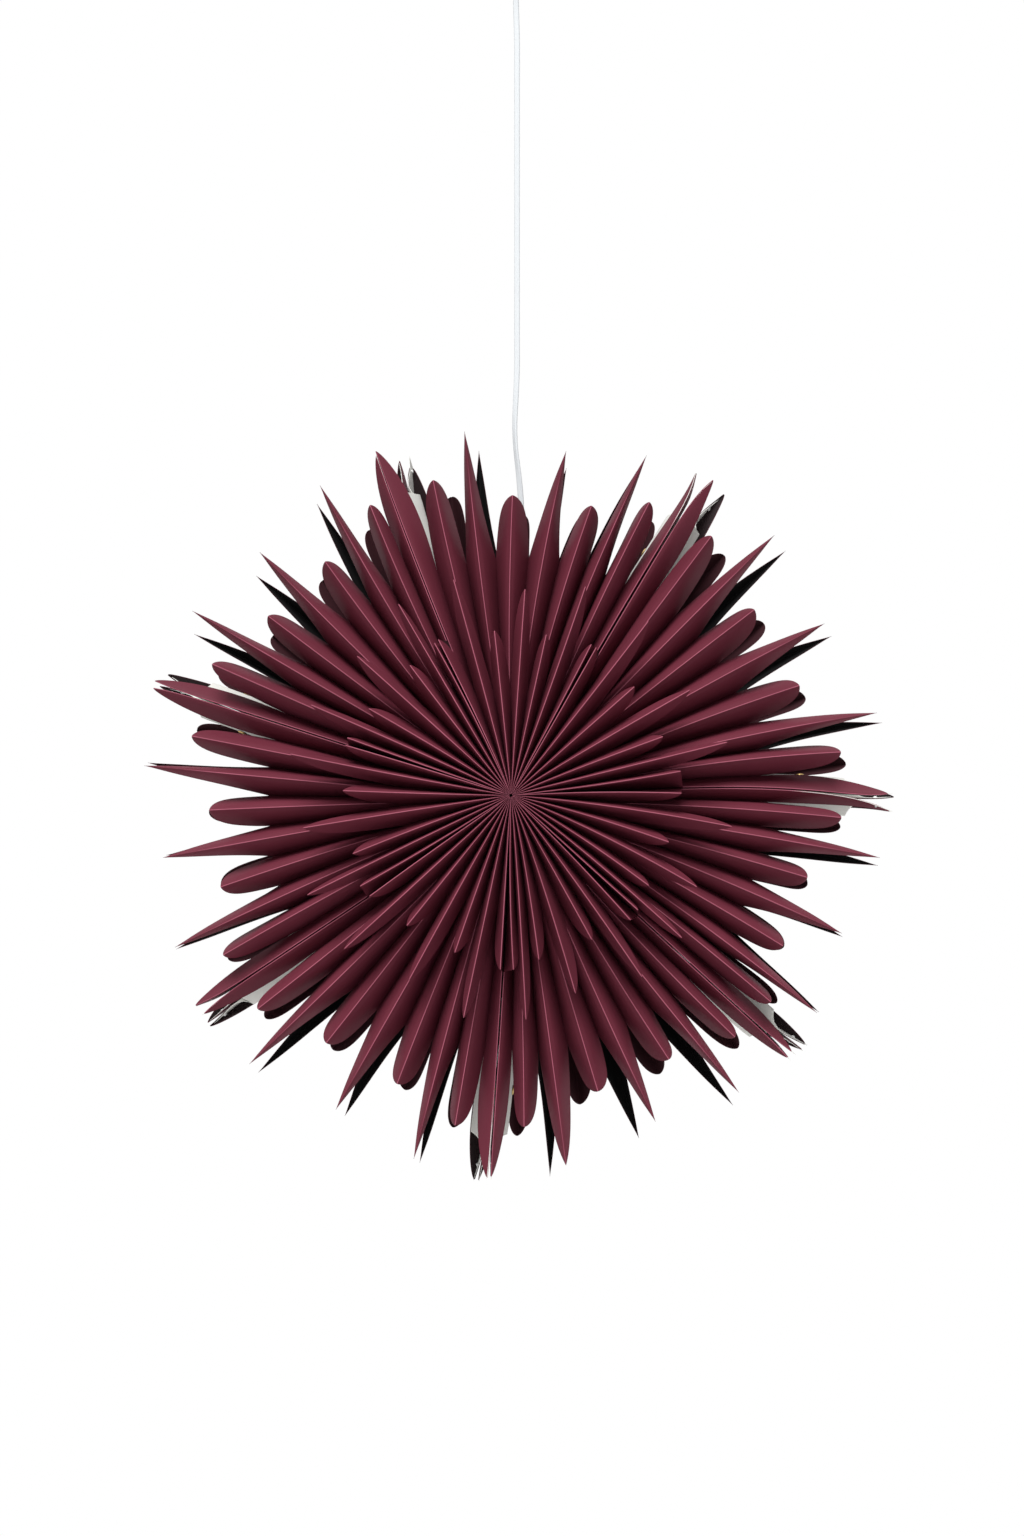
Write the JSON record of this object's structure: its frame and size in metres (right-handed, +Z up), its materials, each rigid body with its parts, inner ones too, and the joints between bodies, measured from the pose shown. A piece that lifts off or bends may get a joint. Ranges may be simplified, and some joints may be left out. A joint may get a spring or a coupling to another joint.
{
  "type": "paper star lamp",
  "caption": "Hanging star lamp of pleated burgundy card petals in a ring, on a flat white cord with a ceiling cup.",
  "frame": {"origin": "midway between the two screw holes, in the bracket's top face, which lies on the ceiling", "axes": "+Z up to the ceiling, the star's front faces -Y, +X to the right seen from the front"},
  "size_m": [0.697, 0.21, 1.2095],
  "materials": {
    "burgundy_card": "satin",
    "white_board": "matte",
    "brass": "polished",
    "steel_wire": "satin",
    "white_plastic": "satin",
    "cord_white": "satin",
    "bulb_glass": "frosted"
  },
  "bodies": {
    "root": {"front_outer_fan_1": "burgundy_card", "front_outer_fan_2": "burgundy_card", "front_outer_fan_3": "burgundy_card", "front_outer_fan_4": "burgundy_card", "front_outer_fan_5": "burgundy_card", "front_outer_fan_6": "burgundy_card", "front_outer_fan_7": "burgundy_card", "front_inner_fan_1": "burgundy_card", "front_inner_fan_2": "burgundy_card", "front_inner_fan_3": "burgundy_card", "front_inner_fan_4": "burgundy_card", "front_inner_fan_5": "burgundy_card", "front_inner_fan_6": "burgundy_card", "front_inner_fan_7": "burgundy_card", "back_outer_fan_1": "burgundy_card", "back_outer_fan_2": "burgundy_card", "back_outer_fan_3": "burgundy_card", "back_outer_fan_4": "burgundy_card", "back_outer_fan_5": "burgundy_card", "back_outer_fan_6": "burgundy_card", "back_outer_fan_7": "burgundy_card", "back_inner_fan_1": "burgundy_card", "back_inner_fan_2": "burgundy_card", "back_inner_fan_3": "burgundy_card", "back_inner_fan_4": "burgundy_card", "back_inner_fan_5": "burgundy_card", "back_inner_fan_6": "burgundy_card", "back_inner_fan_7": "burgundy_card", "start_board_1": "white_board", "start_board_2": "white_board", "start_board_3": "white_board", "start_board_4": "white_board", "start_board_5": "white_board", "start_board_6": "white_board", "start_board_7": "white_board", "end_board_1": "white_board", "end_board_2": "white_board", "end_board_3": "white_board", "end_board_4": "white_board", "end_board_5": "white_board", "end_board_6": "white_board", "end_board_7": "white_board", "brass_fasteners": "brass", "tip_studs": "white_plastic", "wire_hanger": "steel_wire", "holder_shell": "white_plastic", "holder_cap": "white_plastic", "holder_grip": "white_plastic", "screw_sleeve": "brass", "contact_block": "white_plastic", "centre_contact": "brass", "bulb": "bulb_glass", "cord": "cord_white", "ceiling_cup": "white_plastic", "cup_grip": "white_plastic", "ceiling_bracket": "steel_wire", "terminal_block": "white_plastic"}
  },
  "joints": []
}
